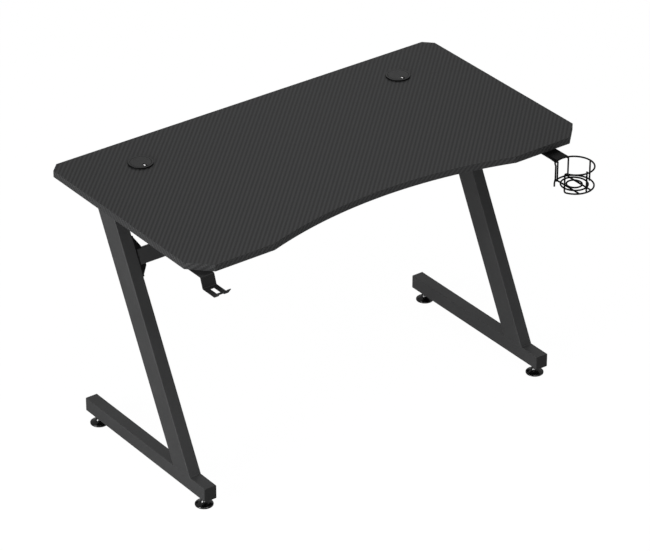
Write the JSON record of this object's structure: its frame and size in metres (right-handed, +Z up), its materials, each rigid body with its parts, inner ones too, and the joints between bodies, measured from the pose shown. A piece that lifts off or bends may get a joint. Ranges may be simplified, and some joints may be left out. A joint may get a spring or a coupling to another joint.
{
  "type": "gaming desk",
  "caption": "Gaming desk with a bowed-in front edge and carbon-look top on leaning Z-shaped steel legs, with levelling feet, cable grommets, a headphone hook and a wire cup holder",
  "frame": {"origin": "on the floor, under the middle of the overall outline from the board's back edge to the front of the cup holder", "axes": "+X runs to the right of a person who sits at the desk, +Y from the sitter to the back edge, +Z up"},
  "size_m": [1.2, 0.7967, 0.736],
  "materials": {
    "carbon_foil": "PVC foil with an embossed diagonal carbon-look twill, semi-matt dark grey",
    "chipboard": "chipboard under the foil, with a dark backing paper on its underside",
    "frame_paint": "fine-textured matt charcoal powder coat on steel tube and plate",
    "bracket_paint": "matt black paint on welded steel plate",
    "hook_paint": "matt black powder coat on bent sheet",
    "cup_paint": "satin black powder coat on sheet and wire",
    "end_cap_plastic": "moulded black polyethylene",
    "grommet_plastic": "moulded dark grey plastic with a fine texture",
    "foot_plastic": "glossy black moulded plastic",
    "zinc_steel": "zinc-plated steel",
    "dark_screws": "black oxide steel"
  },
  "bodies": {
    "desk": {"desktop_core": "chipboard", "desktop_foil": "carbon_foil", "cross_beam": "frame_paint", "beam_bolts": "dark_screws", "beam_inserts": "zinc_steel", "foot_nuts": "zinc_steel", "top_bar_screws": "dark_screws", "headphone_hook": "hook_paint", "hook_screws": "dark_screws", "cup_arm": "cup_paint", "cup_rim_wire": "cup_paint", "cup_right_back_upright": "cup_paint", "cup_right_upright": "cup_paint", "cup_front_upright": "cup_paint", "cup_left_back_upright": "cup_paint", "cup_middle_ring": "cup_paint", "cup_inner_ring": "cup_paint", "cup_left_floor_wire": "cup_paint", "cup_right_floor_wire": "cup_paint", "cup_hanger": "cup_paint", "cup_arm_screws": "dark_screws", "left_foot_bar": "frame_paint", "left_post": "frame_paint", "left_top_bar": "frame_paint", "left_foot_front_cap": "end_cap_plastic", "left_foot_back_cap": "end_cap_plastic", "left_top_bar_front_cap": "end_cap_plastic", "left_top_bar_back_cap": "end_cap_plastic", "left_grommet_ring": "grommet_plastic", "left_beam_bracket": "bracket_paint", "right_foot_bar": "frame_paint", "right_post": "frame_paint", "right_top_bar": "frame_paint", "right_foot_front_cap": "end_cap_plastic", "right_foot_back_cap": "end_cap_plastic", "right_top_bar_front_cap": "end_cap_plastic", "right_top_bar_back_cap": "end_cap_plastic", "right_grommet_ring": "grommet_plastic", "right_beam_bracket": "bracket_paint"},
    "left_cap": {"left_grommet_cap": "grommet_plastic"},
    "left_front_pad": {"left_front_pad": "foot_plastic"},
    "left_front_stud": {"left_front_stud": "zinc_steel"},
    "left_back_pad": {"left_back_pad": "foot_plastic"},
    "left_back_stud": {"left_back_stud": "zinc_steel"},
    "right_cap": {"right_grommet_cap": "grommet_plastic"},
    "right_front_pad": {"right_front_pad": "foot_plastic"},
    "right_front_stud": {"right_front_stud": "zinc_steel"},
    "right_back_pad": {"right_back_pad": "foot_plastic"},
    "right_back_stud": {"right_back_stud": "zinc_steel"}
  },
  "joints": [
    {"name": "left_cap_turn", "type": "hinge", "parent": "desk", "child": "left_cap", "pos_m": [-0.4035, 0.27735, 0.736], "axis": [0, 0, 1], "continuous": true},
    {"name": "left_front_foot_height", "type": "slide", "parent": "desk", "child": "left_front_pad", "axis": [0, 0, -1], "range_m": [-0.005, 0.012]},
    {"name": "left_front_stud_turn", "type": "hinge", "parent": "left_front_pad", "child": "left_front_stud", "pos_m": [-0.5301, -0.16215, 0.027], "axis": [0, 0, -1], "range_deg": [-1440, 3456]},
    {"name": "left_back_foot_height", "type": "slide", "parent": "desk", "child": "left_back_pad", "axis": [0, 0, -1], "range_m": [-0.005, 0.012]},
    {"name": "left_back_stud_turn", "type": "hinge", "parent": "left_back_pad", "child": "left_back_stud", "pos_m": [-0.5301, 0.30885, 0.027], "axis": [0, 0, -1], "range_deg": [-1440, 3456]},
    {"name": "right_cap_turn", "type": "hinge", "parent": "desk", "child": "right_cap", "pos_m": [0.4035, 0.27735, 0.736], "axis": [0, 0, 1], "continuous": true},
    {"name": "right_front_foot_height", "type": "slide", "parent": "desk", "child": "right_front_pad", "axis": [0, 0, -1], "range_m": [-0.005, 0.012]},
    {"name": "right_front_stud_turn", "type": "hinge", "parent": "right_front_pad", "child": "right_front_stud", "pos_m": [0.5301, -0.16215, 0.027], "axis": [0, 0, -1], "range_deg": [-1440, 3456]},
    {"name": "right_back_foot_height", "type": "slide", "parent": "desk", "child": "right_back_pad", "axis": [0, 0, -1], "range_m": [-0.005, 0.012]},
    {"name": "right_back_stud_turn", "type": "hinge", "parent": "right_back_pad", "child": "right_back_stud", "pos_m": [0.5301, 0.30885, 0.027], "axis": [0, 0, -1], "range_deg": [-1440, 3456]}
  ],
  "couplings": [
    {"joint": "left_front_stud_turn", "follows": "left_front_foot_height", "rad_per_m": 5026.5},
    {"joint": "left_back_stud_turn", "follows": "left_back_foot_height", "rad_per_m": 5026.5},
    {"joint": "right_front_stud_turn", "follows": "right_front_foot_height", "rad_per_m": 5026.5},
    {"joint": "right_back_stud_turn", "follows": "right_back_foot_height", "rad_per_m": 5026.5}
  ]
}
